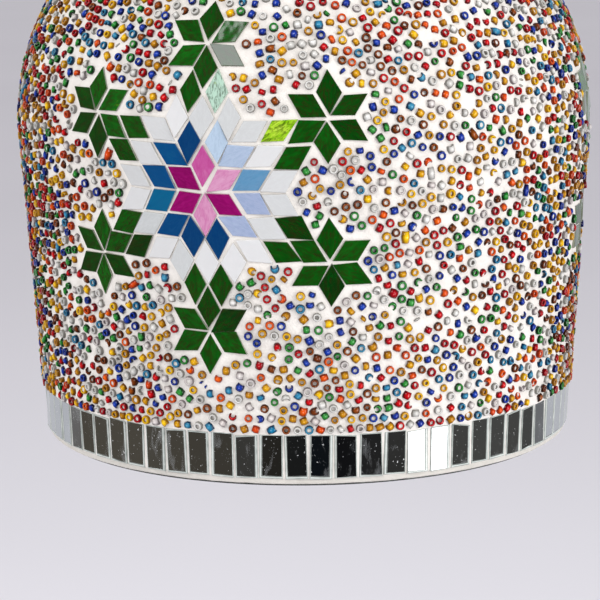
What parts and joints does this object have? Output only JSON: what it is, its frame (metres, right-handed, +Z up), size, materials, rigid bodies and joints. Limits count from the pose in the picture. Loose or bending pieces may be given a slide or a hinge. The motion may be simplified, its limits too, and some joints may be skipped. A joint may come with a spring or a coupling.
{
  "type": "mosaic pendant lamp",
  "caption": "Hanging lamp with an open glass dome set with beads, cut glass flowers and a mirror band, on a loop, link and ring, with a bulb inside.",
  "frame": {"origin": "the point inside the top of the hanging ring where a ceiling hook bears", "axes": "+Z up along the lamp's axis, the hanging ring lies in the XZ plane, and the shade opens towards -Z"},
  "size_m": [0.2903, 0.291, 0.3855],
  "materials": {
    "aged_brass": "satin, slightly darkened",
    "contact_brass": "bright",
    "black_plastic": "moulded",
    "zinc_steel": "zinc plated",
    "clear_glass": "clear, blown",
    "white_plaster": "white gypsum plaster, matt",
    "bead_glass": "seed beads of many colours in plaster",
    "mirror_strip": "silvered glass",
    "magenta_glass": "cut stained glass",
    "pale_glass": "cut blue and clear stained glass",
    "green_glass": "cut streaky stained glass",
    "seal_rubber": "matt",
    "porcelain": "unglazed",
    "black_glass": "gloss",
    "cap_aluminium": "rolled thread",
    "opal_glass": "opal white"
  },
  "bodies": {
    "ring": {"hanging_ring": "aged_brass"},
    "link": {"chain_link": "aged_brass"},
    "lamp": {"top_loop": "aged_brass", "collar": "aged_brass", "canopy_cap": "aged_brass", "holder_cap": "aged_brass", "holder_body": "aged_brass", "screw_shell": "contact_brass", "centre_contact": "contact_brass", "cord_bush": "black_plastic", "nipple": "zinc_steel", "clamp_plate": "zinc_steel", "spring_washer": "zinc_steel", "lock_nut": "zinc_steel", "terminal_screw_1": "zinc_steel", "terminal_screw_2": "zinc_steel", "glass_shell": "clear_glass", "plaster_coat": "white_plaster", "bead_layer": "bead_glass", "mirror_band": "mirror_strip", "star_1": "magenta_glass", "star_2": "magenta_glass", "star_3": "magenta_glass", "petal_ring_1": "pale_glass", "petal_ring_2": "pale_glass", "petal_ring_3": "pale_glass", "flower_1_1": "green_glass", "flower_1_2": "green_glass", "flower_1_3": "green_glass", "flower_1_4": "green_glass", "flower_1_5": "green_glass", "flower_1_6": "green_glass", "flower_2_1": "green_glass", "flower_2_2": "green_glass", "flower_2_3": "green_glass", "flower_2_4": "green_glass", "flower_2_5": "green_glass", "flower_2_6": "green_glass", "flower_3_1": "green_glass", "flower_3_2": "green_glass", "flower_3_3": "green_glass", "flower_3_4": "green_glass", "flower_3_5": "green_glass", "flower_3_6": "green_glass", "seal_ring": "seal_rubber", "holder_insert": "porcelain"},
    "bulb": {"bulb_tip": "zinc_steel", "bulb_collet": "black_glass", "bulb_cap": "cap_aluminium", "bulb_glass": "opal_glass"}
  },
  "joints": [
    {"name": "link_swing", "type": "hinge", "parent": "ring", "child": "link", "pos_m": [0, 0, -0.026], "axis": [1, 0, 0], "range_deg": [-60, 60]},
    {"name": "lamp_swing", "type": "hinge", "parent": "link", "child": "lamp", "pos_m": [0, 0, -0.0497], "axis": [0, 1, 0], "range_deg": [-60, 60]},
    {"name": "bulb_out", "type": "slide", "parent": "lamp", "child": "bulb", "axis": [0, 0, -1], "range_m": [0, 0.045]}
  ]
}
